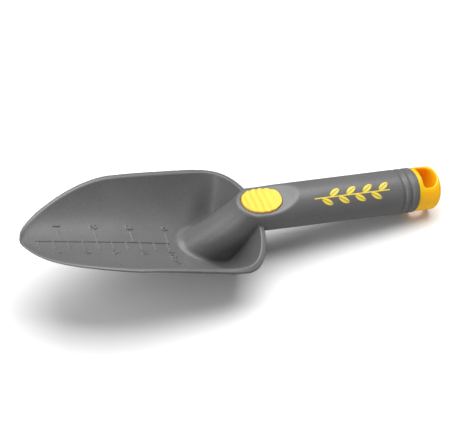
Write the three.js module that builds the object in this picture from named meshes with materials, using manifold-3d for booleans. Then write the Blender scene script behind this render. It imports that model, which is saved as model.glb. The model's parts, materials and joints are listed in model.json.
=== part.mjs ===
// Hand transplanter: a one-piece grey moulding (scoop, neck and hollow handle), a ribbed thumb pad
// and an end cap with a hanging slot. Millimetres.
//
// The blade frame has X from the tip towards the handle, Y across and Z up out of the scoop, with its
// origin on the scoop's floor at the tip. The handle frame has its origin on the axis at the joint
// between handle and cap, X along the axis towards the cap's end, Y across and Z out of the top.
// At the end everything is pitched into the pose in which the tool lies on a table: on the heel of
// its scoop and the lower edge of its cap, tip up.

import * as THREE from 'three';
import Module from 'manifold-3d';
import { ParametricGeometry } from 'three/addons/geometries/ParametricGeometry.js';
import { mergeVertices } from 'three/addons/utils/BufferGeometryUtils.js';

const wasm = await Module();
wasm.setup();

const DEG = Math.PI / 180;
const FIT_GAP = 0.3;            // clearance between a piece and the one it sits in

// Scoop
const WALL = 2.4;               // wall of the scoop
const TIP_X = -1.3;             // the tip is cut off blunt here
const NOSE_POINT_X = -2.1;      // where the nose's curve would run to a point
const NOSE_END = 63;            // where the pointed front turns into the nearly straight sides
const NOSE_HALF_WIDTH = 39.2;
const NOSE_POWER_X = 1.63;
const NOSE_POWER_Y = 1.73;
const SIDE_FLARE = 0.00184;     // widening of the sides per millimetre
const REAR_X = 150.9;           // rear edge on the centre line
const REAR_BOW = 430;           // the rear edge bows forward by y squared over this
const REAR_RISE_START = 60;
const REAR_POWER = 4;
const CORNER_POWER = 3.6;
const DISH_POWER = 2.5;         // cross-section: height grows with this power of the half width
const REAR_DISH_POWER = 12;     // the rear wall stands much steeper than the sides
const RIM_AT_TIP = 0.9;
const RIM_HEIGHT = 15.9;
const RIM_LENGTH = 38.9;
const RIM_POWER = 1.8;
const RIM_SLOPE = 0.0465;
const GABLE_HEIGHT = 10.5;      // the rear rim climbs towards the handle
const GABLE_HALF_WIDTH = 43;
const GABLE_START_X = 113.5;
const GABLE_RISE_LENGTH = 25;
const FLOOR_LEVEL_END = 60;     // behind this the floor falls gently towards the heel
const FLOOR_FALL_LENGTH = 80;
const FLOOR_DROP = 3;
const DISH_CENTRE_X = 95;
const RAY_BUNCHING = 0.28;      // gathers the rays towards the tip and the rear edge
const RING_BUNCHING = 1.9;      // gathers the rings towards the outline
const LAND_WIDTH = 2.8;         // flat land along the rim
const TIP_LAND_WIDTH = 1.4;
const REAR_LAND_WIDTH = 3.5;
const EDGE_AT_TIP = 0.35;       // upright outer face of the rim
const EDGE_GROWTH = 0.0075;     // and its growth per millimetre towards the handle

// Handle
const HANDLE_RAISE = 11.6 * DEG;    // angle between handle axis and scoop floor
const JOINT_X = 261;
const JOINT_Z = 56.1;
const HANDLE_R = 14.9;
const HANDLE_TAPER = 0.0056;        // loss of radius per millimetre towards the scoop
const HANDLE_LENGTH = 116.5;
const HANDLE_SIDES = 44;
const GROOVES_AT = [10.8, 5.4];     // distance of the grip grooves from the joint
const GROOVE_DEPTH = 1.1;
const GROOVE_HALF_WIDTH = 1.3;
const BORE_R = 11.8;
const BORE_LENGTH = 82;
const BORE_DRAFT = 0.006;
const FRONT_BORE_R = 6;             // narrower end of the bore, under the thumb rest
const FRONT_BORE_DROP = 4.5;
const FRONT_BORE_LENGTH = 108;

// Neck
const NECK_TIP_X = 109.5;           // foot of the neck's nose
const NECK_TOP_X = 135;           // where the nose meets the thumb rest
const NECK_FOOT_Z = -2;
const NECK_TOP_Z = 43;
const NECK_CURVE = 1.5;
const NECK_NOSE_LENGTH = 19;
const NECK_HALF_WIDTH = 13.8;
const NECK_REAR_HALF_WIDTH = 14.7;
const TUNNEL_R = 14.27;             // round back of the neck, a touch wider than the handle
const NECK_REAR_X = 150.5;
const NECK_WALL = 2.7;
const NECK_HOLLOW_TOP = 3;          // top of the hollow, above the handle axis
const NECK_HOLLOW_REAR_X = 143;

// Thumb rest and pad
const REST_RADIUS = 41;             // hollow of the thumb rest, seen from the side
const REST_AT = -111.5;             // it is flat ahead of this place on the handle axis
const REST_HEIGHT = 7.5;            // height of the flat part over the axis
const PAD_AT = -111.6;
const PAD_HALF_LENGTH = 13.2;
const PAD_HALF_WIDTH = 9.6;
const PAD_POWER = 2.3;
const PAD_SCALLOP = 0.25;
const PAD_RAISED = 1.0;
const PAD_SUNK = 1.3;
const RIB_COUNT = 6;
const RIB_PITCH = 4.6;
const RIB_HEIGHT = 0.45;
const RIB_RADIUS = 1.9;

// End cap
const CAP_R = 14.6;                 // a touch narrower than the handle's end
const CAP_LENGTH = 17.6;
const CAP_EDGE_R = 3.2;
const CAP_SIDES = 24;
const SLOT_FRONT = 3.6;
const SLOT_REAR = 15.2;
const SLOT_HALF_WIDTH = 8.8;
const SLOT_CORNER_R = 2;
const SPIGOT_LENGTH = 16;
const SPIGOT_WALL = 2;

// Pose on the table
const REST_PITCH = 20.31 * DEG;

// ---------------------------------------------------------------- solids

function weld(geometry) {
  const bare = geometry.clone();
  bare.deleteAttribute('normal');
  bare.deleteAttribute('uv');
  const merged = mergeVertices(bare, 1e-3);
  const kept = [];
  const index = merged.index.array;
  for (let i = 0; i < index.length; i += 3) {
    const [a, b, c] = [index[i], index[i + 1], index[i + 2]];
    if (a !== b && b !== c && c !== a) {
      kept.push(a, b, c);
    }
  }
  merged.setIndex(kept);
  return merged;
}

function solidOf(geometry) {
  const welded = weld(geometry);
  const solid = new wasm.Manifold(new wasm.Mesh({
    numProp: 3,
    vertProperties: new Float32Array(welded.attributes.position.array),
    triVerts: new Uint32Array(welded.index.array),
  }));
  return solid;
}

function meshOf(name, solid, material) {
  const { vertProperties, triVerts } = solid.getMesh();
  const geometry = new THREE.BufferGeometry();
  geometry.setAttribute('position', new THREE.BufferAttribute(vertProperties, 3));
  geometry.setIndex(new THREE.BufferAttribute(triVerts, 1));
  geometry.computeVertexNormals();
  const mesh = new THREE.Mesh(geometry, material);
  mesh.name = name;
  return mesh;
}

const handleFrame = new THREE.Matrix4().makeRotationY(-HANDLE_RAISE).setPosition(JOINT_X, 0, JOINT_Z);

function inHandle(geometry) {
  return geometry.applyMatrix4(handleFrame);
}

// A solid of revolution about the handle axis from a closed list of [along, radius].
function turned(profile, segments) {
  const points = profile.map(([along, radius]) => new THREE.Vector2(radius, along));
  return new THREE.LatheGeometry(points, segments).rotateZ(-Math.PI / 2);
}

// A cylinder lying across the handle, at [along, height] in the handle frame.
function crossBar(radius, along, height, length, segments) {
  return new THREE.CylinderGeometry(radius, radius, length, segments).translate(along, 0, height);
}

// ---------------------------------------------------------------- scoop

function smoothStep(t) {
  const c = Math.min(1, Math.max(0, t));
  return c * c * (3 - 2 * c);
}

function halfWidth(x, inset) {
  const tip = NOSE_POINT_X + Math.min(inset, TIP_LAND_WIDTH);
  const ahead = Math.min(1, Math.max(0, (NOSE_END - x) / (NOSE_END - tip)));
  const nose = Math.pow(1 - Math.pow(ahead, NOSE_POWER_X), 1 / NOSE_POWER_Y);
  return (NOSE_HALF_WIDTH - inset) * nose * (1 + SIDE_FLARE * (x - NOSE_END));
}

function floorHeight(x) {
  return -FLOOR_DROP * Math.pow(Math.max(0, x - FLOOR_LEVEL_END) / FLOOR_FALL_LENGTH, 2);
}

function rimHeight(x, y) {
  const along = Math.max(0, x - TIP_X);
  const curve = RIM_HEIGHT * (1 - Math.exp(-Math.pow(along / RIM_LENGTH, RIM_POWER)));
  const gable = GABLE_HEIGHT * Math.max(0, 1 - Math.pow(y / GABLE_HALF_WIDTH, 2));
  const side = RIM_AT_TIP + curve + RIM_SLOPE * along;
  return side + gable * smoothStep((x - GABLE_START_X) / GABLE_RISE_LENGTH);
}

function acrossLevel(x, y, inset) {
  return Math.abs(y) / Math.max(1e-6, halfWidth(x, inset));
}

// 0 on the centre line, 1 on the outline of the rim.
function dishLevel(x, y, inset) {
  const rear = REAR_X - REAR_LAND_WIDTH * inset / LAND_WIDTH - y * y / REAR_BOW;
  const along = Math.pow(Math.max(0, x - REAR_RISE_START) / (rear - REAR_RISE_START), REAR_POWER);
  const across = acrossLevel(x, y, inset);
  return Math.pow(Math.pow(across, CORNER_POWER) + Math.pow(along, CORNER_POWER), 1 / CORNER_POWER);
}

// Share of the height between floor and rim: round sides that turn into a steep rear wall.
function riseShare(x, y, inset) {
  const level = Math.min(1, dishLevel(x, y, inset));
  const across = acrossLevel(x, y, inset);
  const sideways = Math.pow(Math.min(1, across / Math.max(1e-6, level)), CORNER_POWER);
  const power = REAR_DISH_POWER * Math.pow(DISH_POWER / REAR_DISH_POWER, sideways);
  return Math.pow(level, power);
}

// Inner surface of the dish. With a thickness it is the underside, which ends below the rim, at the
// foot of the rim's upright outer face.
function dishHeight(x, y, inset, thickness) {
  const bottom = floorHeight(x) - thickness * (0.5 + 0.5 * smoothStep(x / 40));
  const edge = thickness > 0 ? EDGE_AT_TIP + EDGE_GROWTH * Math.max(0, x) : 0;
  return bottom + (rimHeight(x, y) - edge - bottom) * riseShare(x, y, inset);
}

function outlineRadius(cos, sin, inset) {
  let near = 0;
  let far = 130;
  for (let i = 0; i < 40; i += 1) {
    const middle = (near + far) / 2;
    const x = DISH_CENTRE_X + middle * cos;
    const y = middle * sin;
    const outside = x <= TIP_X + Math.min(inset, TIP_LAND_WIDTH) || dishLevel(x, y, inset) > 1;
    if (outside) {
      far = middle;
    } else {
      near = middle;
    }
  }
  return near;
}

// A dish-shaped solid, built from rays out of DISH_CENTRE_X: its underside follows the scoop out to
// the rim, and its lid stands liftOfLid above the rim.
function dishSolid(inset, thickness, liftOfLid) {
  const rays = 84;
  const rings = 20;
  const lidRings = 2;
  const surface = (u, v, target) => {
    const angle = Math.PI * 2 * u;
    const bunched = angle - RAY_BUNCHING * Math.sin(2 * angle);
    const cos = Math.cos(bunched);
    const sin = Math.sin(bunched);
    const ring = Math.round(v * (rings + 1 + lidRings));
    const onLid = ring > rings;
    const share = onLid
      ? 1 - (ring - rings - 1) / lidRings
      : 1 - Math.pow(1 - ring / rings, RING_BUNCHING);
    const reach = outlineRadius(cos, sin, inset) * share;
    const x = DISH_CENTRE_X + reach * cos;
    const y = reach * sin;
    target.set(x, y, onLid ? rimHeight(x, y) + liftOfLid : dishHeight(x, y, inset, thickness));
  };
  return solidOf(new ParametricGeometry(surface, rays, rings + 1 + lidRings));
}

// ---------------------------------------------------------------- neck

// An upright solid with a rounded nose that leans back as it rises. Its sections are level.
function neckSolid(inset, bottom, top, rearX) {
  const around = 40;
  const levels = 10;
  const surface = (u, v, target) => {
    const step = Math.round(v * (levels + 2));
    const level = Math.min(levels, Math.max(0, step - 1)) / levels;
    const z = bottom + (top - bottom) * level;
    const below = Math.max(0, (NECK_TOP_Z - z) / (NECK_TOP_Z - NECK_FOOT_Z));
    const noseX = NECK_TOP_X - (NECK_TOP_X - NECK_TIP_X) * Math.pow(below, NECK_CURVE) + inset;
    const shoulderX = noseX + NECK_NOSE_LENGTH - inset;
    const angle = Math.PI * 2 * u;
    const cos = Math.cos(angle);
    const sin = Math.sin(angle);
    const closed = step === 0 || step === levels + 2 ? 0 : 1;
    const squared = Math.sign(cos) * Math.pow(Math.abs(cos), 0.3);
    const x = cos < 0 ? shoulderX + (shoulderX - noseX) * cos : shoulderX + (rearX - shoulderX) * squared;
    const across = cos < 0 ? sin : Math.sign(sin) * Math.pow(Math.abs(sin), 0.3);
    const widening = (NECK_REAR_HALF_WIDTH - NECK_HALF_WIDTH) * Math.max(0, squared);
    const middle = (shoulderX + rearX) / 2;
    const y = (NECK_HALF_WIDTH + widening - inset) * across;
    target.set(middle + (x - middle) * closed, y * closed, z);
  };
  return solidOf(new ParametricGeometry(surface, around, levels + 2));
}

// The handle's round back carried straight down on both sides, to trim the neck with.
function handleTunnel() {
  const arch = new THREE.Shape();
  arch.moveTo(-TUNNEL_R, -70);
  arch.lineTo(TUNNEL_R, -70);
  arch.lineTo(TUNNEL_R, 0);
  arch.absarc(0, 0, TUNNEL_R, 0, Math.PI, false);
  arch.lineTo(-TUNNEL_R, -70);
  const run = new THREE.ExtrudeGeometry(arch, { depth: 90, bevelEnabled: false, curveSegments: 24 });
  return solidOf(inHandle(run.rotateX(Math.PI / 2).rotateZ(Math.PI / 2).translate(-170, 0, 0)));
}

// ---------------------------------------------------------------- handle

function handleRadius(along) {
  return HANDLE_R + HANDLE_TAPER * along;
}

function handleBar() {
  const profile = [[-HANDLE_LENGTH, 0], [-HANDLE_LENGTH, handleRadius(-HANDLE_LENGTH)]];
  for (const distance of GROOVES_AT) {
    for (let i = 0; i <= 4; i += 1) {
      const across = -1 + i / 2;
      const along = -distance + across * GROOVE_HALF_WIDTH;
      const depth = GROOVE_DEPTH * Math.sqrt(Math.max(0, 1 - across * across));
      profile.push([along, handleRadius(along) - depth]);
    }
  }
  profile.push([-0.4, HANDLE_R], [0, HANDLE_R - 0.4], [0, 0]);
  return solidOf(inHandle(turned(profile, HANDLE_SIDES)));
}

function handleBore() {
  const mouth = turned([
    [-BORE_LENGTH, 0],
    [-BORE_LENGTH, BORE_R - BORE_DRAFT * BORE_LENGTH - 2],
    [-BORE_LENGTH + 2, BORE_R - BORE_DRAFT * BORE_LENGTH],
    [1, BORE_R],
    [1, 0],
  ], 32);
  const front = turned([
    [-FRONT_BORE_LENGTH, 0],
    [-FRONT_BORE_LENGTH, FRONT_BORE_R - 1],
    [-FRONT_BORE_LENGTH + 1, FRONT_BORE_R],
    [-BORE_LENGTH + 6, FRONT_BORE_R],
    [-BORE_LENGTH + 6, 0],
  ], 20).translate(0, 0, -FRONT_BORE_DROP);
  return solidOf(inHandle(mouth)).add(solidOf(inHandle(front)));
}

// ---------------------------------------------------------------- thumb rest and pad

// The space over the thumb rest: round behind REST_AT and flat ahead of it. A smaller radius lifts
// its underside by the difference.
function restSpace(radius) {
  const middle = REST_HEIGHT + REST_RADIUS;
  const low = middle - radius;
  const ahead = new THREE.BoxGeometry(60, 60, 60).translate(REST_AT - 30, 0, low + 30);
  return solidOf(inHandle(crossBar(radius, REST_AT, middle, 60, 72))).add(solidOf(inHandle(ahead)));
}

// The pad's outline in plan, grown by `grow`, as an upright block.
function padBlock(grow, low, high) {
  const corners = 48;
  const points = [];
  for (let i = 0; i < corners; i += 1) {
    const angle = Math.PI * 2 * i / corners;
    const cos = Math.cos(angle);
    const sin = Math.sin(angle);
    const along = (PAD_HALF_LENGTH + grow) * Math.sign(cos) * Math.pow(Math.abs(cos), 2 / PAD_POWER);
    const scallop = -PAD_SCALLOP * Math.cos(2 * Math.PI * along / RIB_PITCH) * Math.abs(sin);
    const widest = PAD_HALF_WIDTH + grow + scallop;
    const across = widest * Math.sign(sin) * Math.pow(Math.abs(sin), 2 / PAD_POWER);
    points.push(new THREE.Vector2(PAD_AT + along, across));
  }
  const outline = new THREE.Shape(points);
  const block = new THREE.ExtrudeGeometry(outline, { depth: high - low, bevelEnabled: false });
  return solidOf(inHandle(block.translate(0, 0, low)));
}

function padPocket() {
  return padBlock(FIT_GAP, 0, 30).intersect(restSpace(REST_RADIUS + PAD_SUNK + FIT_GAP));
}

function thumbPad() {
  let above = restSpace(REST_RADIUS - PAD_RAISED);
  for (let i = 0; i < RIB_COUNT; i += 1) {
    const along = PAD_AT + (i - (RIB_COUNT - 1) / 2) * RIB_PITCH;
    const turn = Math.max(0, along - REST_AT) / REST_RADIUS;
    const drop = REST_RADIUS * (1 - Math.cos(turn));
    const height = REST_HEIGHT + PAD_RAISED + RIB_HEIGHT - RIB_RADIUS + drop;
    above = above.subtract(solidOf(inHandle(crossBar(RIB_RADIUS, along, height, 60, 12))));
  }
  return padBlock(0, 0, 30).intersect(restSpace(REST_RADIUS + PAD_SUNK)).subtract(above);
}

// ---------------------------------------------------------------- end cap

function capSlot() {
  const corner = SLOT_CORNER_R;
  const half = SLOT_HALF_WIDTH;
  const bulge = SLOT_FRONT + 9;
  const slot = new THREE.Shape();
  slot.moveTo(SLOT_FRONT, 0);
  slot.lineTo(SLOT_FRONT, half - corner);
  slot.absarc(SLOT_FRONT + corner, half - corner, corner, Math.PI, Math.PI / 2, true);
  slot.bezierCurveTo(bulge, half, SLOT_REAR, half * 0.6, SLOT_REAR, 0);
  slot.bezierCurveTo(SLOT_REAR, -half * 0.6, bulge, -half, SLOT_FRONT + corner, -half);
  slot.absarc(SLOT_FRONT + corner, corner - half, corner, Math.PI * 1.5, Math.PI, true);
  const through = new THREE.ExtrudeGeometry(slot, { depth: 60, bevelEnabled: false, curveSegments: 5 });
  return solidOf(inHandle(through.translate(0, 0, -30)));
}

function endCap() {
  const profile = [[FIT_GAP, 0], [FIT_GAP, CAP_R - 0.4], [FIT_GAP + 0.4, CAP_R]];
  const edgeSteps = 3;
  for (let i = 0; i <= edgeSteps; i += 1) {
    const angle = Math.PI / 2 * i / edgeSteps;
    const along = CAP_LENGTH - CAP_EDGE_R + CAP_EDGE_R * Math.sin(angle);
    profile.push([along, CAP_R - CAP_EDGE_R + CAP_EDGE_R * Math.cos(angle)]);
  }
  profile.push([CAP_LENGTH, 0]);
  const body = solidOf(inHandle(turned(profile, CAP_SIDES))).subtract(capSlot());
  const spigotR = BORE_R - FIT_GAP - BORE_DRAFT * SPIGOT_LENGTH;
  const spigot = turned([
    [1, spigotR],
    [-SPIGOT_LENGTH + 1, spigotR],
    [-SPIGOT_LENGTH, spigotR - 1],
    [-SPIGOT_LENGTH, spigotR - SPIGOT_WALL],
    [1, spigotR - SPIGOT_WALL],
    [1, spigotR],
  ], 20);
  return body.add(solidOf(inHandle(spigot)));
}

// ---------------------------------------------------------------- the tool

function moulding() {
  const hull = dishSolid(0, WALL, 0);
  const cavity = dishSolid(LAND_WIDTH, 0, 25);
  const overHull = dishSolid(0, WALL, 60);
  const neck = neckSolid(0, -20, 60, NECK_REAR_X).intersect(handleTunnel()).intersect(overHull);
  const hollowTop = JOINT_Z - (JOINT_X - NECK_HOLLOW_REAR_X) * Math.tan(HANDLE_RAISE) + NECK_HOLLOW_TOP;
  const neckHollow = neckSolid(NECK_WALL, -30, hollowTop, NECK_HOLLOW_REAR_X);
  return hull
    .subtract(cavity)
    .add(neck)
    .add(handleBar())
    .subtract(neckHollow)
    .subtract(handleBore())
    .subtract(restSpace(REST_RADIUS))
    .subtract(padPocket());
}

const greyPlastic = new THREE.MeshStandardMaterial({ color: 0x6f7173, roughness: 0.55, metalness: 0 });
const yellowRubber = new THREE.MeshStandardMaterial({ color: 0xffe23c, roughness: 0.7, metalness: 0 });
const yellowPlastic = new THREE.MeshStandardMaterial({ color: 0xffc420, roughness: 0.35, metalness: 0 });

const tool = new THREE.Group();
tool.add(meshOf('scoop_and_handle', moulding(), greyPlastic));
tool.add(meshOf('thumb_pad', thumbPad(), yellowRubber));
tool.add(meshOf('end_cap', endCap(), yellowPlastic));
tool.rotation.y = REST_PITCH;

const transplanter = new THREE.Group();
transplanter.add(tool);
transplanter.updateMatrixWorld(true);
const box = new THREE.Box3().setFromObject(transplanter, true);
tool.position.set(-(box.min.x + box.max.x) / 2, 0, -box.min.z);

export default transplanter;
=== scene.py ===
"""Hand transplanter: a grey moulding with a scoop, neck and hollow handle, a yellow thumb pad and a
yellow end cap, lying on a table.

Each of the three pieces is written as a signed distance in millimetres, negative inside the plastic,
with its edges rounded and its corners filleted where two surfaces meet. A net of small quads is laid
on the zero surface, and every vertex is then moved onto it.

The blade frame has X from the tip towards the handle, Y across and Z up out of the scoop, with its
origin on the scoop's floor at the tip. The handle frame has its origin on the axis at the joint
between handle and cap, X along the axis towards the cap's end, Y across and Z out of the top. The
CAD model's end face says where both lie in the row frame, in which Blender works in metres.
"""

import json
import math

import bmesh
import bpy
import numpy as np
from mathutils import Euler, Matrix, Vector


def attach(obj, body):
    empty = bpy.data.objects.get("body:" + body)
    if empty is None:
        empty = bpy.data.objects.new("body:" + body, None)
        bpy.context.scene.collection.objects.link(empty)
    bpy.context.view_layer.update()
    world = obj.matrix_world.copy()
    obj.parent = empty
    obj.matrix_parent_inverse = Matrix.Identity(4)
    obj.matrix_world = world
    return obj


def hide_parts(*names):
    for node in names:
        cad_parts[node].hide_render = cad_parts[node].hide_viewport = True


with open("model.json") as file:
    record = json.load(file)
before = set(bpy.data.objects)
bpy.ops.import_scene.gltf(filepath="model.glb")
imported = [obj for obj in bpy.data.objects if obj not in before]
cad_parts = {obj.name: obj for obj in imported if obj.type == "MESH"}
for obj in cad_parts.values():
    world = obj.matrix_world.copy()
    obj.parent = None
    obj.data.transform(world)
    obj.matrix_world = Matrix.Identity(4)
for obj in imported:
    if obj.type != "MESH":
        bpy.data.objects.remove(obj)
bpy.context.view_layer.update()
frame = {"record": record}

MM = 0.001

# Scoop, in millimetres
WALL = 2.4
TIP_WALL_SHARE = 0.5    # the floor is this share of the wall at the tip
FLOOR_THICKENING_LENGTH = 40.0
TIP_X = -1.3            # the tip is cut off blunt here
NOSE_POINT_X = -2.1     # where the nose's curve would run to a point
NOSE_END = 63.0
NOSE_HALF_WIDTH = 39.15
NOSE_POWER_X = 1.63
NOSE_POWER_Y = 1.73
SIDE_FLARE = 0.00184
REAR_X = 150.9
REAR_BOW = 430.0
REAR_RISE_START = 60.0
REAR_POWER = 4.0
CORNER_POWER = 3.6
DISH_POWER = 2.5
REAR_DISH_POWER = 12.0  # the rear wall stands much steeper than the sides
RIM_AT_TIP = 0.9
RIM_HEIGHT = 15.9
RIM_LENGTH = 38.9
RIM_POWER = 1.8
RIM_SLOPE = 0.0465
LEVEL_LIMIT = 1.7       # the dish is not followed further out than this
RISE_LIMIT = 2.0
GABLE_HEIGHT = 10.5     # the rear rim climbs towards the handle
GABLE_HALF_WIDTH = 43.0
GABLE_START_X = 113.5
GABLE_RISE_LENGTH = 25.0
FLOOR_LEVEL_END = 60.0  # behind this the floor falls gently towards the heel
FLOOR_FALL_LENGTH = 80.0
FLOOR_DROP = 3.0
LAND_WIDTH = 2.8
TIP_LAND_WIDTH = 1.4
REAR_LAND_WIDTH = 3.5
EDGE_AT_TIP = 0.35      # upright outer face of the rim
EDGE_GROWTH = 0.0075    # and its growth per millimetre towards the handle
TIP_CORNER_R = 2.0

# Handle
HANDLE_RAISE = math.radians(11.6)
JOINT_X = 261.0
JOINT_Z = 56.1
HANDLE_R = 14.9
HANDLE_TAPER = 0.0056
HANDLE_LENGTH = 116.5
GROOVES_AT = (5.4, 10.8)
GROOVE_DEPTH = 1.1
GROOVE_HALF_WIDTH = 1.3
BORE_R = 11.8
BORE_LENGTH = 82.0
BORE_DRAFT = 0.006
FRONT_BORE_R = 6.0
FRONT_BORE_DROP = 4.5
FRONT_BORE_LENGTH = 108.0
BORE_OVERLAP = 6.0      # the two bores run into each other over this length

# Neck
NECK_TIP_X = 109.5
NECK_TOP_X = 135.0
NECK_FOOT_Z = -2.0
NECK_TOP_Z = 43.0
NECK_CURVE = 1.5
NECK_NOSE_LENGTH = 19.0
NECK_HALF_WIDTH = 13.8
NECK_REAR_HALF_WIDTH = 14.7
NECK_REAR_X = 150.5
NECK_WIDENING_START = 125.0
NECK_WIDENING_LENGTH = 20.0
NECK_FLATTEST = 1 / 25  # least slope taken for the distance to its sides
NECK_ARCH_GAP = 0.02    # the neck's top lies this far outside the handle's radius
NECK_WALL = 2.7
NECK_HOLLOW_TOP = 3.0
NECK_HOLLOW_REAR_X = 143.0

# Thumb rest and pad
REST_RADIUS = 41.0
REST_AT = -111.5        # the rest is flat ahead of this place on the handle axis
REST_HEIGHT = 7.5
PAD_AT = -111.6
PAD_HALF_LENGTH = 13.2
PAD_HALF_WIDTH = 9.6
PAD_POWER = 2.3
PAD_SCALLOP = 0.25
PAD_SCALLOP_FADE = 1.2  # in half lengths, where the scallops have died away
PAD_RAISED = 1.0
PAD_SUNK = 1.3
RIB_HEIGHT = 0.4
RIB_PITCH = 4.6

# End cap
CAP_R = 14.5            # a touch narrower than the handle's end
CAP_LENGTH = 17.6
CAP_EDGE_R = 3.4
JOINT_GAP = 0.3
SLOT_FRONT = 3.6
SLOT_REAR = 15.2
SLOT_HALF_WIDTH = 8.8
SLOT_BOW_START = 4.5    # behind the slot's front edge
SLOT_POWER = 2.2
SLOT_CORNER_R = 2.0
SPIGOT_LENGTH = 16.0
SPIGOT_WALL = 2.0
SPIGOT_OVERLAP = 1.0    # length of the spigot inside the cap's body

# Rounding
LIP_R = 0.45            # edges of the rim
REST_EDGE_R = 1.0       # edge of the thumb rest
NECK_FILLET = 3.0       # foot of the neck in the scoop
HEEL_FILLET = 1.0       # handle against the outside of the scoop
FILLET_CHANGE_X = 143.0  # the fillet turns from one into the other here
FILLET_CHANGE_LENGTH = 4.0
HEEL_CLEARANCE = 0.03   # the round heel is shaved this far above the table
HEEL_EDGE_R = 0.8
NECK_ARCH_R = 0.6
HOLLOW_EDGE_R = 0.4
POCKET_EDGE_R = 0.2
JOINT_EDGE_R = 0.35     # both sides of the joint between handle and cap
GROOVE_EDGE_R = 0.3
SPIGOT_EDGE_R = 0.8
SLOT_EDGE_R = 0.7
PAD_EDGE_R = 0.7
PAD_GAP = 0.15

# Moulded depth scale. Places are from the tip, and to the near side where negative
CENTIMETRE = 10
INCH = 25.4
CENTIMETRE_COUNT = 10
INCH_COUNT = 4
SCALE_START = 8.5
SCALE_END = 101.5
CENTIMETRE_TICK = (1.0, -5.9)
INCH_TICK = (0, 8.1)
INCH_FIGURES_AT = 11.3
INCH_FIGURE_SIZE = 4.6
CENTIMETRE_FIGURES_AT = -8.9
CENTIMETRE_FIGURE_SIZE = 4.2
LAST_FIGURE_AT = -9.6
UNIT_AT = -16.2
LETTER_PITCH = 0.86     # in heights of a letter
SCALE_RELIEF = 0.62
STROKE_FLAT = 0.2       # half width of a line's flat top
STROKE_SLOPE = 0.32     # width of its sloping side
SCALE_AREA_X = (5, 106)  # the part of the scoop's floor that holds all strokes
SCALE_AREA_HALF_WIDTH = 24
SCALE_AREA_TOP = 12
FLOOR_TOLERANCE = 0.4   # a vertex this close to the floor counts as on it
FINE_REACH = 0.95       # the net is cut finer this close to a stroke
FINE_CUTS = 3

# Nets
MOULDING_CELL = 0.66
CAP_CELL = 0.4
PAD_CELL = 0.3
SLOPE_STEP = 0.05       # for slopes by difference
FAR_AWAY = 99.0


# ---------------------------------------------------------------- frames

end_face = next(m for m in frame["record"]["mounts"] if m["name"] == "cap_end_face")
axis = Vector(end_face["axis"])
handle_to_row = (
    Matrix.Translation(Vector(end_face["pos_m"]) - axis * CAP_LENGTH * MM)
    @ Matrix.Rotation(math.atan2(-axis.z, axis.x), 4, "Y")
)
blade_to_handle = (
    Matrix.Rotation(HANDLE_RAISE, 4, "Y") @ Matrix.Translation((-JOINT_X * MM, 0, -JOINT_Z * MM))
)
blade_to_row = handle_to_row @ blade_to_handle
table_to_blade = blade_to_row.inverted()
table_up = table_to_blade.to_3x3() @ Vector((0, 0, 1))
table_at = table_to_blade.translation / MM


# ---------------------------------------------------------------- distances

def smooth_step(t):
    t = np.clip(t, 0, 1)
    return t * t * (3 - 2 * t)


def join(a, b, radius):
    """The union of two solids, with a fillet of that radius where they meet."""
    corner = np.hypot(np.maximum(radius - a, 0), np.maximum(radius - b, 0))
    return np.maximum(radius, np.minimum(a, b)) - corner


def common(a, b, radius):
    """What two solids share, with its edge rounded to that radius."""
    corner = np.hypot(np.maximum(radius + a, 0), np.maximum(radius + b, 0))
    return np.minimum(-radius, np.maximum(a, b)) + corner


def half_width(x, inset):
    tip = NOSE_POINT_X + min(inset, TIP_LAND_WIDTH)
    ahead = np.clip((NOSE_END - x) / (NOSE_END - tip), 0, 1)
    nose = (1 - ahead**NOSE_POWER_X) ** (1 / NOSE_POWER_Y)
    return (NOSE_HALF_WIDTH - inset) * nose * (1 + SIDE_FLARE * (x - NOSE_END))


def rim_height(x, y):
    along = np.maximum(0, x - TIP_X)
    curve = RIM_HEIGHT * (1 - np.exp(-((along / RIM_LENGTH) ** RIM_POWER)))
    gable = GABLE_HEIGHT * np.maximum(0, 1 - (y / GABLE_HALF_WIDTH) ** 2)
    side = RIM_AT_TIP + curve + RIM_SLOPE * along
    return side + gable * smooth_step((x - GABLE_START_X) / GABLE_RISE_LENGTH)


def across_level(x, y, inset):
    return np.minimum(np.abs(y) / np.maximum(0.02, half_width(x, inset)), LEVEL_LIMIT)


def dish_level(x, y, inset):
    """0 on the centre line, 1 on the outline of the rim."""
    rear = REAR_X - REAR_LAND_WIDTH * inset / LAND_WIDTH - y * y / REAR_BOW
    ratio = np.maximum(0, x - REAR_RISE_START) / (rear - REAR_RISE_START)
    along = np.minimum(ratio**REAR_POWER, LEVEL_LIMIT)
    return (across_level(x, y, inset) ** CORNER_POWER + along**CORNER_POWER) ** (1 / CORNER_POWER)


def outline_gap(x, y):
    """Distance outside the outline of the rim, seen from above."""
    level = dish_level(x, y, 0)
    slope_x = (dish_level(x + SLOPE_STEP, y, 0) - level) / SLOPE_STEP
    slope_y = (dish_level(x, y + SLOPE_STEP, 0) - level) / SLOPE_STEP
    return (level - 1) / np.maximum(0.01, np.hypot(slope_x, slope_y))


def rise_share(x, y, inset):
    """Share of the height between floor and rim: round sides that turn into a steep rear wall."""
    level = np.maximum(1e-6, dish_level(x, y, inset))
    sideways = np.minimum(1, across_level(x, y, inset) / level) ** CORNER_POWER
    power = REAR_DISH_POWER * (DISH_POWER / REAR_DISH_POWER) ** sideways
    return np.minimum(level**power, RISE_LIMIT)


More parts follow.
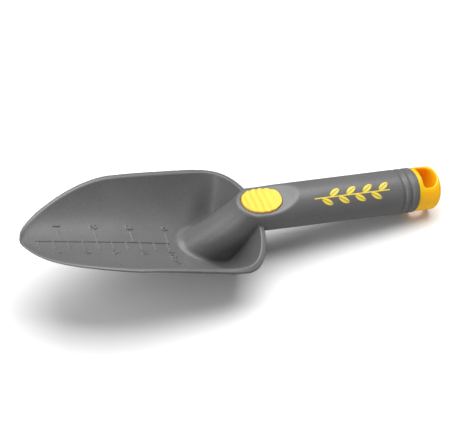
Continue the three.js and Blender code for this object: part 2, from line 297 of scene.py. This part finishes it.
def dish_height(x, y, inset, thickness):
    """Height of the scoop's inner surface, or with a thickness of its underside."""
    floor = -FLOOR_DROP * (np.maximum(0, x - FLOOR_LEVEL_END) / FLOOR_FALL_LENGTH) ** 2
    grown = smooth_step(x / FLOOR_THICKENING_LENGTH)
    bottom = floor - thickness * (TIP_WALL_SHARE + (1 - TIP_WALL_SHARE) * grown)
    edge = EDGE_AT_TIP + EDGE_GROWTH * np.maximum(0, x) if thickness else 0
    return bottom + (rim_height(x, y) - edge - bottom) * rise_share(x, y, inset)


def under(height, x, y, z):
    """Distance that a point lies under a height field."""
    level = height(x, y)
    slope_x = (height(x + SLOPE_STEP, y) - height(x - SLOPE_STEP, y)) / (2 * SLOPE_STEP)
    slope_y = (height(x, y + SLOPE_STEP) - height(x, y - SLOPE_STEP)) / (2 * SLOPE_STEP)
    return (level - z) / np.sqrt(1 + slope_x**2 + slope_y**2)


def scoop_floor(x, y):
    """Height of the scoop's inner surface, inside the flat land along its rim."""
    return dish_height(x, y, LAND_WIDTH, 0)


def scoop_underside(x, y):
    return dish_height(x, y, 0, WALL)


def to_handle(x, z):
    """A place in the blade frame, as its distance along the handle and its height above the axis."""
    cos, sin = math.cos(HANDLE_RAISE), math.sin(HANDLE_RAISE)
    return (x - JOINT_X) * cos + (z - JOINT_Z) * sin, (z - JOINT_Z) * cos - (x - JOINT_X) * sin


def neck_sides(x, y, z, inset):
    """The neck's level sections: a half-elliptic nose that leans back as it rises, and straight sides."""
    below = np.maximum(0, (NECK_TOP_Z - z) / (NECK_TOP_Z - NECK_FOOT_Z))
    nose = NECK_TOP_X - (NECK_TOP_X - NECK_TIP_X) * below**NECK_CURVE + inset
    length = NECK_NOSE_LENGTH - inset
    grown = smooth_step((x - NECK_WIDENING_START) / NECK_WIDENING_LENGTH)
    width = NECK_HALF_WIDTH + (NECK_REAR_HALF_WIDTH - NECK_HALF_WIDTH) * grown - inset
    ahead = np.maximum(0, nose + length - x) / length
    reach = np.maximum(1e-3, np.hypot(ahead, y / width))
    steepness = np.hypot(ahead / length, y / width**2) / reach
    return (reach - 1) / np.maximum(steepness, NECK_FLATTEST)


def handle_radius(along):
    return HANDLE_R + HANDLE_TAPER * along


def handle_gap(along, y, up):
    radius = np.hypot(y, up)
    bar = common(radius - handle_radius(along), along, JOINT_EDGE_R)
    for distance in GROOVES_AT:
        sink = (radius - handle_radius(along)) / GROOVE_DEPTH
        ring = np.hypot((along + distance) / GROOVE_HALF_WIDTH, sink)
        bar = common(bar, (1 - ring) * GROOVE_DEPTH, GROOVE_EDGE_R)
    return np.maximum(bar, -HANDLE_LENGTH - along)


def bore_gap(along, y, up):
    """The wide bore that takes the cap's spigot, and a narrower one that goes on towards the neck."""
    mouth = np.maximum(np.hypot(y, up) - (BORE_R + BORE_DRAFT * along), -BORE_LENGTH - along)
    front = np.hypot(y, up + FRONT_BORE_DROP) - FRONT_BORE_R
    front = np.maximum(np.maximum(front, -FRONT_BORE_LENGTH - along), along + BORE_LENGTH - BORE_OVERLAP)
    return np.minimum(mouth, front)


def pad_outline(along, y, grow):
    """The thumb pad seen from above: a rounded oval whose edge is scalloped by the ribs."""
    u = (along - PAD_AT) / (PAD_HALF_LENGTH + grow)
    scallop = PAD_SCALLOP * np.cos(2 * math.pi * (along - PAD_AT) / RIB_PITCH + math.pi)
    width = PAD_HALF_WIDTH + grow + scallop * np.clip(PAD_SCALLOP_FADE - np.abs(u), 0, 1)
    v = y / width
    reach = np.maximum(1e-3, (np.abs(u) ** PAD_POWER + np.abs(v) ** PAD_POWER) ** (1 / PAD_POWER))
    return (reach - 1) * np.where(np.abs(u) > np.abs(v), PAD_HALF_LENGTH, PAD_HALF_WIDTH)


def rest_depth(along, up):
    """Depth below the surface of the thumb rest: hollow at the back and flat in front."""
    hollow = np.hypot(along - REST_AT, up - REST_HEIGHT - REST_RADIUS) - REST_RADIUS
    return np.where(along < REST_AT, REST_HEIGHT - up, hollow)


def moulding_gap(x, y, z):
    underside = under(scoop_underside, x, y, z)
    inner = under(scoop_floor, x, y, z)
    above_rim = -under(rim_height, x, y, z)
    along, up = to_handle(x, z)

    sides = common(common(outline_gap(x, y), TIP_X - x, TIP_CORNER_R), above_rim, LIP_R)
    scoop = common(common(underside, sides, LIP_R), -inner, LIP_R)
    arch = np.where(up > 0, np.hypot(y, up), np.abs(y)) - handle_radius(along) - NECK_ARCH_GAP
    neck = common(neck_sides(x, y, z, 0), arch, NECK_ARCH_R)
    neck = np.maximum(np.maximum(neck, x - NECK_REAR_X), underside)
    handle = handle_gap(along, y, up)
    outside = smooth_step((x - FILLET_CHANGE_X) / FILLET_CHANGE_LENGTH)
    fillet = NECK_FILLET + (HEEL_FILLET - NECK_FILLET) * outside
    solid = join(scoop, np.minimum(neck, handle), fillet)
    # The neck and the scoop share their underside, which a fillet would swell.
    solid = np.maximum(solid, join(underside, handle, HEEL_FILLET))

    hollow_top = JOINT_Z - (JOINT_X - NECK_HOLLOW_REAR_X) * math.tan(HANDLE_RAISE) + NECK_HOLLOW_TOP
    hollow_end = np.maximum(x - NECK_HOLLOW_REAR_X, z - hollow_top)
    hollow = np.maximum(neck_sides(x, y, z, NECK_WALL), hollow_end)
    solid = common(solid, -hollow, HOLLOW_EDGE_R)
    solid = np.maximum(solid, -bore_gap(along, y, up))
    above_table = (x - table_at.x) * table_up.x + (z - table_at.z) * table_up.z
    solid = common(solid, HEEL_CLEARANCE - above_table, HEEL_EDGE_R)
    depth = rest_depth(along, up)
    solid = common(solid, -depth, REST_EDGE_R)
    pocket = np.maximum(pad_outline(along, y, PAD_GAP), depth - PAD_SUNK - PAD_GAP)
    return common(solid, -pocket, POCKET_EDGE_R)


def pad_gap(along, y, up):
    depth = rest_depth(along, up)
    rib = 0.5 + 0.5 * np.cos(2 * math.pi * (along - PAD_AT) / RIB_PITCH + math.pi)
    top = -depth - PAD_RAISED - RIB_HEIGHT * rib
    block = common(pad_outline(along, y, 0), top, PAD_EDGE_R)
    return np.maximum(block, depth - PAD_SUNK)


def slot_outline(along, y):
    """The hanging slot seen from above: a straight front edge and a bowed rear."""
    front = SLOT_FRONT - along
    middle = SLOT_FRONT + SLOT_BOW_START
    u = np.maximum(0, along - middle) / (SLOT_REAR - middle)
    v = np.abs(y / SLOT_HALF_WIDTH)
    reach = np.maximum(1e-3, (u**SLOT_POWER + v**SLOT_POWER) ** (1 / SLOT_POWER))
    bow = (reach - 1) * SLOT_HALF_WIDTH
    return common(bow, front, SLOT_CORNER_R)


def cap_gap(along, y, up):
    radius = np.hypot(y, up)
    body = common(radius - CAP_R, along - CAP_LENGTH, CAP_EDGE_R)
    body = common(body, JOINT_GAP - along, JOINT_EDGE_R)
    body = common(body, -slot_outline(along, y), SLOT_EDGE_R)
    spigot_r = BORE_R - JOINT_GAP - BORE_DRAFT * SPIGOT_LENGTH
    spigot = common(radius - spigot_r, -SPIGOT_LENGTH - along, SPIGOT_EDGE_R)
    spigot = np.maximum(spigot, spigot_r - SPIGOT_WALL - radius)
    spigot = np.maximum(spigot, along - SPIGOT_OVERLAP)
    return np.minimum(body, spigot)


# ---------------------------------------------------------------- meshes

def net(field, low, cell):
    """Vertices and quads of a net around the zero surface of a field given on a grid."""
    inside = field < 0
    count = np.zeros(tuple(n - 1 for n in field.shape), np.int8)
    corners = [(i, j, k) for i in (0, 1) for j in (0, 1) for k in (0, 1)]
    for i, j, k in corners:
        count += inside[i:i + count.shape[0], j:j + count.shape[1], k:k + count.shape[2]]
    cells = np.argwhere((count > 0) & (count < 8))
    number = np.full(count.shape, -1, np.int64)
    number[tuple(cells.T)] = np.arange(len(cells))

    value = {c: field[tuple((cells + c).T)] for c in corners}
    total = np.zeros((len(cells), 3))
    crossings = np.zeros(len(cells))
    for start in corners:
        for a in range(3):
            if start[a]:
                continue
            end = tuple(v + (n == a) for n, v in enumerate(start))
            p, q = value[start], value[end]
            cut = (p < 0) != (q < 0)
            place = np.tile(np.array(start, float), (len(cells), 1))
            place[:, a] = p / np.where(cut, p - q, 1)
            total[cut] += place[cut]
            crossings += cut
    vertices = np.array(low) + cell * (cells + total / crossings[:, None])

    quads = []
    for a in range(3):
        b, c = (a + 1) % 3, (a + 2) % 3
        ahead = np.moveaxis(inside, a, 0)
        change = np.moveaxis(ahead[1:] != ahead[:-1], 0, a)
        edges = np.argwhere(change)
        edges = edges[(edges[:, b] > 0) & (edges[:, c] > 0)]
        edges = edges[(edges[:, b] < field.shape[b] - 1) & (edges[:, c] < field.shape[c] - 1)]
        around = []
        for step_b, step_c in ((1, 1), (0, 1), (0, 0), (1, 0)):
            at = edges.copy()
            at[:, b] -= step_b
            at[:, c] -= step_c
            around.append(number[tuple(at.T)])
        quad = np.stack(around, 1)
        flip = ~inside[tuple(edges.T)]
        quad[flip] = quad[flip][:, ::-1]
        quads.append(quad)
    return vertices, np.concatenate(quads)


def settle(points, gap, rounds=3):
    """Moves points along the gradient onto the zero surface."""
    step = 0.02
    least_square = 0.2
    longest_move = 0.3
    for _ in range(rounds):
        x, y, z = points.T
        here = gap(x, y, z)
        slope = np.stack([
            gap(x + step, y, z) - here,
            gap(x, y + step, z) - here,
            gap(x, y, z + step) - here,
        ], 1) / step
        square = np.maximum(least_square, (slope**2).sum(1))
        move = -slope * (here / square)[:, None]
        length = np.maximum(1e-9, np.linalg.norm(move, axis=1))
        points = points + move * np.minimum(1, longest_move / length)[:, None]
    return points


def net_of(gap, low, high, cell):
    """A net on a solid's surface inside a box, worked out in slabs to spare memory."""
    slab = 64
    axes = [np.arange(a, b + cell, cell) for a, b in zip(low, high)]
    x = axes[0][:, None, None]
    y = axes[1][None, :, None]
    z = axes[2][None, None, :]
    slabs = [gap(x[i:i + slab], y, z).astype(np.float32) for i in range(0, len(x), slab)]
    vertices, quads = net(np.concatenate(slabs), low, cell)
    return settle(vertices, gap), quads


def mesh_object(name, points, faces, place, material):
    """An object with its origin at the row frame's, from points in millimetres."""
    turn = np.array(place.to_3x3())
    shift = np.array(place.translation)
    row = points * MM @ turn.T + shift
    mesh = bpy.data.meshes.new(name)
    mesh.from_pydata(row.tolist(), [], faces.tolist())
    mesh.polygons.foreach_set("use_smooth", [True] * len(mesh.polygons))
    mesh.materials.append(material)
    mesh.update()
    thing = bpy.data.objects.new(name, mesh)
    bpy.context.scene.collection.objects.link(thing)
    return thing


# ---------------------------------------------------------------- depth scale

def arc(x, y, rx, ry, start, end):
    """Points on an ellipse's arc between two angles in degrees."""
    steps = 12
    angles = np.radians(np.linspace(start, end, steps + 1))
    return [(x + rx * math.cos(a), y + ry * math.sin(a)) for a in angles]


# Each glyph is one high, as lines to draw with a round tool.
GLYPHS = {
    "0": [arc(0.3, 0.5, 0.3, 0.5, 0, 360)],
    "1": [[(0.1, 0.8), (0.34, 1), (0.34, 0)]],
    "2": [arc(0.3, 0.7, 0.28, 0.3, 165, -35) + [(0, 0), (0.62, 0)]],
    "3": [arc(0.28, 0.75, 0.27, 0.25, 150, -90) + arc(0.28, 0.26, 0.32, 0.26, 90, -150)],
    "4": [[(0.46, 0), (0.46, 1), (0, 0.3), (0.66, 0.3)]],
    "6": [arc(0.3, 0.3, 0.3, 0.3, 150, 510), [(0.04, 0.42), (0.42, 1)]],
    "8": [arc(0.3, 0.76, 0.24, 0.24, 0, 360), arc(0.3, 0.27, 0.3, 0.27, 0, 360)],
    "c": [arc(0.3, 0.3, 0.3, 0.3, 50, 310)],
    "m": [
        [(0, 0), (0, 0.6)],
        arc(0.22, 0.38, 0.22, 0.22, 180, 0) + [(0.44, 0)],
        arc(0.66, 0.38, 0.22, 0.22, 180, 0) + [(0.88, 0)],
    ],
}


def scale_lines():
    """The scale's strokes, as lines of [x, y] on the scoop's floor."""
    lines = [[(SCALE_START, 0), (SCALE_END, 0)]]
    for mark in range(1, CENTIMETRE_COUNT + 1):
        lines.append([(CENTIMETRE * mark, end) for end in CENTIMETRE_TICK])
    for mark in range(1, INCH_COUNT + 1):
        lines.append([(INCH * mark, end) for end in INCH_TICK])

    def write(text, x, y, size):
        """Text centred on [x, y]. Its letters stand upright with the tip of the scoop down."""
        pitch = LETTER_PITCH if len(text) > 1 else 0
        for n, letter in enumerate(text):
            offset = (n - (len(text) - 1) / 2) * pitch
            for stroke in GLYPHS[letter]:
                lines.append([
                    (x + (v - 0.5) * size, y - (u - 0.3 + offset) * size) for u, v in stroke
                ])

    for mark in range(1, INCH_COUNT + 1):
        write(str(mark), INCH * mark, INCH_FIGURES_AT, INCH_FIGURE_SIZE)
    for mark in range(2, CENTIMETRE_COUNT, 2):
        write(str(mark), CENTIMETRE * mark, CENTIMETRE_FIGURES_AT, CENTIMETRE_FIGURE_SIZE)
    last = CENTIMETRE * CENTIMETRE_COUNT
    write(str(CENTIMETRE_COUNT), last, LAST_FIGURE_AT, CENTIMETRE_FIGURE_SIZE)
    write("cm", last, UNIT_AT, CENTIMETRE_FIGURE_SIZE)
    return lines


def stroke_distance(x, y, lines):
    nearest = np.full(x.shape, FAR_AWAY)
    for line in lines:
        for (ax, ay), (bx, by) in zip(line, line[1:]):
            length = max(1e-6, math.hypot(bx - ax, by - ay))
            ux, uy = (bx - ax) / length, (by - ay) / length
            t = np.clip((x - ax) * ux + (y - ay) * uy, 0, length)
            nearest = np.minimum(nearest, np.hypot(x - ax - t * ux, y - ay - t * uy))
    return nearest


def emboss(points, faces, lines):
    """Cuts the floor's quads finer near the strokes and raises the strokes out of them."""
    def distance_to_strokes(p):
        x, y, z = p.T
        near = (x > SCALE_AREA_X[0]) & (x < SCALE_AREA_X[1])
        near &= (np.abs(y) < SCALE_AREA_HALF_WIDTH) & (z < SCALE_AREA_TOP)
        near[near] &= np.abs(under(scoop_floor, x[near], y[near], z[near])) < FLOOR_TOLERANCE
        distance = np.full(len(p), FAR_AWAY)
        distance[near] = stroke_distance(x[near], y[near], lines)
        return distance

    mesh = bpy.data.meshes.new("scale_work")
    mesh.from_pydata(points.tolist(), [], faces.tolist())
    work = bmesh.new()
    work.from_mesh(mesh)
    bpy.data.meshes.remove(mesh)
    close = distance_to_strokes(points) < FINE_REACH
    fine = close[faces].any(1)
    work.faces.ensure_lookup_table()
    edges = {e for n in np.flatnonzero(fine) for e in work.faces[n].edges}
    edges = sorted(edges, key=lambda e: e.index)
    bmesh.ops.subdivide_edges(work, edges=edges, cuts=FINE_CUTS, use_grid_fill=True)
    work.verts.index_update()
    points = np.array([v.co for v in work.verts])
    faces = [[v.index for v in f.verts] for f in work.faces]
    work.free()
    points = settle(points, moulding_gap, 2)
    rise = 1 - smooth_step((distance_to_strokes(points) - STROKE_FLAT) / STROKE_SLOPE)
    points[:, 2] += SCALE_RELIEF * rise
    return points, faces


# ---------------------------------------------------------------- materials

def srgb(r, g, b):
    """A linear colour from eight-bit sRGB."""
    parts = [c / 255 for c in (r, g, b)]
    return tuple(c / 12.92 if c <= 0.04045 else ((c + 0.055) / 1.055) ** 2.4 for c in parts) + (1.0,)


GREY_DARK = srgb(88, 88, 88)
GREY_LIGHT = srgb(96, 96, 96)
GREY_PALE = srgb(116, 116, 116)
PRINT_YELLOW = srgb(232, 206, 66)
PAD_DEEP = srgb(250, 190, 56)
PAD_PALE = srgb(255, 200, 76)
CAP_DEEP = srgb(255, 184, 14)
CAP_PALE = srgb(255, 194, 24)

# Printed sprig of leaves on the handle, in millimetres along it and around it
PRINT_START = -75.0
PRINT_TURN = math.radians(31)
LEAF_PITCH = 12.0
LEAF_COUNT = 4
LEAF_RISE = 2.9
LEAF_LEAN = math.radians(30)
LEAF_HALF_LENGTH = 4.7
LEAF_HALF_WIDTH = 1.9
LEAF_EDGE = 0.06        # softness of a leaf's edge
VEIN = (0.16, 0.26)     # half widths where a vein's ink begins and is full
STEM = (0.3, 0.4)       # half widths where the stem's ink is still full and has ended
STEM_OVERHANG = 3.0     # stem ahead of the first leaf
STEM_TAIL = 0.35        # stem behind the last leaf, in pitches


class Nodes:
    """Short calls for wiring a material."""

    def __init__(self, name):
        self.material = bpy.data.materials.new(name)
        self.material.use_nodes = True
        self.tree = self.material.node_tree
        self.shader = self.tree.nodes["Principled BSDF"]

    def add(self, kind, **settings):
        node = self.tree.nodes.new(kind)
        for key, value in settings.items():
            setattr(node, key, value)
        return node

    def link(self, source, target):
        if isinstance(source, (int, float, tuple)):
            target.default_value = source
        else:
            self.tree.links.new(source, target)

    def math(self, operation, a, b=0.0):
        node = self.add("ShaderNodeMath", operation=operation)
        self.link(a, node.inputs[0])
        self.link(b, node.inputs[1])
        return node.outputs[0]

    def noise(self, vector, scale, detail=3.0, roughness=0.5):
        node = self.add("ShaderNodeTexNoise")
        self.link(vector, node.inputs["Vector"])
        node.inputs["Scale"].default_value = scale
        node.inputs["Detail"].default_value = detail
        node.inputs["Roughness"].default_value = roughness
        return node.outputs["Fac"]

    def fit(self, value, low, high, to_low, to_high):
        node = self.add("ShaderNodeMapRange")
        for socket, v in zip(list(node.inputs)[:5], (value, low, high, to_low, to_high)):
            self.link(v, socket)
        return node.outputs[0]

    def mix(self, factor, a, b):
        node = self.add("ShaderNodeMix", data_type="RGBA")
        self.link(factor, node.inputs[0])
        self.link(a, node.inputs[6])
        self.link(b, node.inputs[7])
        return node.outputs[2]

    def bump(self, height, strength, distance, normal=None):
        node = self.add("ShaderNodeBump")
        node.inputs["Strength"].default_value = strength
        node.inputs["Distance"].default_value = distance
        self.link(height, node.inputs["Height"])
        if normal is not None:
            self.link(normal, node.inputs["Normal"])
        return node.outputs[0]

    def glow_through(self, weight, reach):
        """Lets light spread under the surface, by a reach in metres for each of red, green and blue."""
        self.shader.inputs["Subsurface Weight"].default_value = weight
        self.shader.inputs["Subsurface Radius"].default_value = reach
        self.shader.inputs["Subsurface Scale"].default_value = 1.0

    def place(self):
        return self.add("ShaderNodeTexCoord").outputs["Object"]


def leaf_print(nodes, place):
    """1 on a printed sprig of leaves along the handle's near upper side, 0 elsewhere."""
    inverse = handle_to_row.inverted()
    mapping = nodes.add("ShaderNodeMapping", vector_type="POINT")
    mapping.inputs["Location"].default_value = inverse.translation
    mapping.inputs["Rotation"].default_value = inverse.to_euler()
    nodes.link(place, mapping.inputs["Vector"])
    split = nodes.add("ShaderNodeSeparateXYZ")
    nodes.link(mapping.outputs[0], split.inputs[0])
    along = nodes.math("DIVIDE", split.outputs[0], MM)
    towards_near = nodes.math("MULTIPLY", split.outputs[1], -1.0)
    turn = nodes.math("ARCTAN2", towards_near, split.outputs[2])
    across = nodes.math("MULTIPLY", nodes.math("SUBTRACT", turn, PRINT_TURN), HANDLE_R)

    def within(value, low, high):
        return nodes.math(
            "MULTIPLY", nodes.math("GREATER_THAN", value, low), nodes.math("LESS_THAN", value, high)
        )

    def turned(a, a_share, b, b_share):
        return nodes.math(
            "ADD", nodes.math("MULTIPLY", a, a_share), nodes.math("MULTIPLY", b, b_share)
        )

    def leaves(side, start):
        """A row of leaves on one side of the stem, each an almond that leans forward."""
        from_start = nodes.math("SUBTRACT", along, start)
        repeated = nodes.math("FLOORED_MODULO", from_start, LEAF_PITCH)
        ahead = nodes.math("SUBTRACT", repeated, LEAF_PITCH / 2)
        lift = nodes.math("SUBTRACT", nodes.math("MULTIPLY", across, side), LEAF_RISE)
        cos, sin = math.cos(LEAF_LEAN), math.sin(LEAF_LEAN)
        long_way = turned(ahead, cos, lift, sin)
        cross_way = nodes.math("ABSOLUTE", turned(lift, cos, ahead, -sin))
        bow = (LEAF_HALF_LENGTH**2 - LEAF_HALF_WIDTH**2) / (2 * LEAF_HALF_WIDTH)
        past_bow = nodes.math("ADD", cross_way, bow)
        reach = nodes.math("SQRT", turned(
            nodes.math("POWER", long_way, 2.0), 1.0, nodes.math("POWER", past_bow, 2.0), 1.0
        ))
        depth = nodes.math("SUBTRACT", bow + LEAF_HALF_WIDTH, reach)
        blade = nodes.fit(depth, -LEAF_EDGE, LEAF_EDGE, 0.0, 1.0)
        vein = nodes.fit(cross_way, *VEIN, 0.0, 1.0)
        shown = within(from_start, 0.0, LEAF_PITCH * LEAF_COUNT)
        return nodes.math("MULTIPLY", nodes.math("MULTIPLY", blade, vein), shown)

    both = nodes.math("MAXIMUM", leaves(1.0, PRINT_START), leaves(-1.0, PRINT_START + LEAF_PITCH / 2))
    line = nodes.fit(nodes.math("ABSOLUTE", across), *STEM, 1.0, 0.0)
    line_end = PRINT_START + LEAF_PITCH * (LEAF_COUNT + STEM_TAIL)
    stem = nodes.math("MULTIPLY", line, within(along, PRINT_START - STEM_OVERHANG, line_end))
    return nodes.math("MAXIMUM", both, stem)


def grey_plastic():
    """Glass-filled grey plastic, with a fine satin grain, faint flow clouds and rubbed patches."""
    nodes = Nodes("grey_plastic")
    place = nodes.place()
    cloud = nodes.noise(place, 28.0, detail=4.0, roughness=0.55)
    speck = nodes.noise(place, 1500.0, detail=2.0)
    tone = nodes.mix(nodes.fit(cloud, 0.3, 0.7, 0.0, 1.0), GREY_DARK, GREY_LIGHT)
    tone = nodes.mix(nodes.fit(speck, 0.35, 0.75, 0.0, 0.5), tone, GREY_PALE)
    printed = leaf_print(nodes, place)
    nodes.link(nodes.mix(printed, tone, PRINT_YELLOW), nodes.shader.inputs["Base Color"])
    rub = nodes.noise(place, 60.0, detail=5.0, roughness=0.6)
    nodes.link(nodes.fit(rub, 0.3, 0.7, 0.34, 0.46), nodes.shader.inputs["Roughness"])
    grain = nodes.noise(place, 1100.0, detail=2.0)
    waves = nodes.noise(place, 90.0, detail=2.0)
    soft = nodes.bump(waves, strength=0.12, distance=0.0006)
    nodes.link(nodes.bump(grain, 0.6, 0.00009, normal=soft), nodes.shader.inputs["Normal"])
    return nodes.material


def yellow_rubber():
    """Soft yellow rubber with a matte skin."""
    nodes = Nodes("yellow_rubber")
    place = nodes.place()
    cloud = nodes.noise(place, 120.0)
    tone = nodes.mix(nodes.fit(cloud, 0.3, 0.7, 0.0, 1.0), PAD_DEEP, PAD_PALE)
    nodes.link(tone, nodes.shader.inputs["Base Color"])
    nodes.link(nodes.fit(cloud, 0.3, 0.7, 0.55, 0.7), nodes.shader.inputs["Roughness"])
    grain = nodes.noise(place, 1600.0)
    nodes.link(nodes.bump(grain, 0.3, 0.00008), nodes.shader.inputs["Normal"])
    nodes.glow_through(weight=0.3, reach=(0.004, 0.0025, 0.0006))
    return nodes.material


def yellow_plastic():
    """Glossy yellow plastic that turns orange where it is deep."""
    nodes = Nodes("yellow_plastic")
    place = nodes.place()
    cloud = nodes.noise(place, 70.0)
    tone = nodes.mix(nodes.fit(cloud, 0.3, 0.7, 0.0, 1.0), CAP_DEEP, CAP_PALE)
    nodes.link(tone, nodes.shader.inputs["Base Color"])
    rub = nodes.noise(place, 160.0, detail=4.0)
    nodes.link(nodes.fit(rub, 0.3, 0.7, 0.28, 0.4), nodes.shader.inputs["Roughness"])
    grain = nodes.noise(place, 900.0, detail=2.0)
    nodes.link(nodes.bump(grain, 0.12, 0.00005), nodes.shader.inputs["Normal"])
    nodes.glow_through(weight=0.8, reach=(0.010, 0.0045, 0.0008))
    return nodes.material


# ---------------------------------------------------------------- the tool

# Boxes that hold each piece with a little room around it
MOULDING_LOW = (-2.4, -45.0, -9.0)
MOULDING_HIGH = (263.0, 45.0, 73.0)
PAD_ROOM = 1.5
PAD_LOW = (PAD_AT - PAD_HALF_LENGTH - PAD_ROOM, -PAD_HALF_WIDTH - PAD_ROOM, 4.0)
PAD_HIGH = (PAD_AT + PAD_HALF_LENGTH + PAD_ROOM, PAD_HALF_WIDTH + PAD_ROOM, 15.0)
CAP_ROOM = 1.2
CAP_LOW = (-SPIGOT_LENGTH - CAP_ROOM, -HANDLE_R - CAP_ROOM, -HANDLE_R - CAP_ROOM)
CAP_HIGH = (CAP_LENGTH + CAP_ROOM, HANDLE_R + CAP_ROOM, HANDLE_R + CAP_ROOM)

grey = grey_plastic()
points, faces = net_of(moulding_gap, MOULDING_LOW, MOULDING_HIGH, MOULDING_CELL)
points, faces = emboss(points, faces, scale_lines())
moulding = mesh_object("moulded_body", points, np.array(faces, dtype=object), blade_to_row, grey)
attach(moulding, "root")
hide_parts("scoop_and_handle")

points, faces = net_of(pad_gap, PAD_LOW, PAD_HIGH, PAD_CELL)
pad = mesh_object("ribbed_pad", points, faces, handle_to_row, yellow_rubber())
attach(pad, "root")
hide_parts("thumb_pad")

points, faces = net_of(cap_gap, CAP_LOW, CAP_HIGH, CAP_CELL)
cap = mesh_object("hanging_cap", points, faces, handle_to_row, yellow_plastic())
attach(cap, "root")
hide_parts("end_cap")


# ---------------------------------------------------------------- stage

def stage_floor():
    """A pale matt floor that does not mirror in the plastic."""
    nodes = Nodes("floor")
    place = nodes.place()
    tone = nodes.mix(nodes.noise(place, 3.0), (0.86, 0.86, 0.86, 1), (0.89, 0.89, 0.89, 1))
    nodes.link(tone, nodes.shader.inputs["Base Color"])
    nodes.shader.inputs["Roughness"].default_value = 0.9
    reach = 3.0
    work = bmesh.new()
    bmesh.ops.create_grid(work, x_segments=8, y_segments=8, size=reach)
    mesh = bpy.data.meshes.new("floor")
    work.to_mesh(mesh)
    work.free()
    mesh.materials.append(nodes.material)
    floor = bpy.data.objects.new("floor", mesh)
    floor.visible_glossy = False
    bpy.context.scene.collection.objects.link(floor)


def softbox(name, target, direction, distance, size, power):
    """A rectangular lamp that looks at a target from a direction."""
    lamp = bpy.data.lights.new(name, "AREA")
    lamp.shape = "RECTANGLE"
    lamp.size, lamp.size_y = size
    lamp.energy = power
    thing = bpy.data.objects.new(name, lamp)
    away = Vector(direction).normalized()
    thing.location = target + away * distance
    thing.rotation_euler = away.to_track_quat("Z", "Y").to_euler()
    bpy.context.scene.collection.objects.link(thing)


stage_floor()
target = Vector((0, 0, 0.02))
softbox("key", target, direction=(0.12, 0.33, 1.0), distance=0.9, size=(1.1, 0.7), power=14.5)
softbox("side", target, direction=(-1.0, 0.05, 0.75), distance=1.2, size=(0.7, 0.7), power=4.0)
softbox("front", target, direction=(-0.8, -0.62, 0.42), distance=1.2, size=(0.45, 0.36), power=3.6)

world = bpy.data.worlds.new("studio")
world.use_nodes = True
world.node_tree.nodes["Background"].inputs["Color"].default_value = (1.0, 1.0, 1.0, 1)
world.node_tree.nodes["Background"].inputs["Strength"].default_value = 0.14
bpy.context.scene.world = world
bpy.context.scene.view_settings.view_transform = "Standard"

# The camera's place and turn in the blade frame
CAMERA_AT = Vector((-383.23, -534.22, 612.55)) * MM
CAMERA_TURN = Euler([math.radians(a) for a in (46.822, -24.885, -22.829)], "XYZ")
CAMERA_LENS = 115.632
CAMERA_SENSOR = 36.0

camera_data = bpy.data.cameras.new("camera")
camera_data.sensor_width = CAMERA_SENSOR
camera_data.sensor_fit = "HORIZONTAL"
camera_data.lens = CAMERA_LENS
camera_data.clip_start = 0.05
camera = bpy.data.objects.new("camera", camera_data)
camera.matrix_world = blade_to_row @ Matrix.Translation(CAMERA_AT) @ CAMERA_TURN.to_matrix().to_4x4()
bpy.context.scene.collection.objects.link(camera)
bpy.context.scene.camera = camera
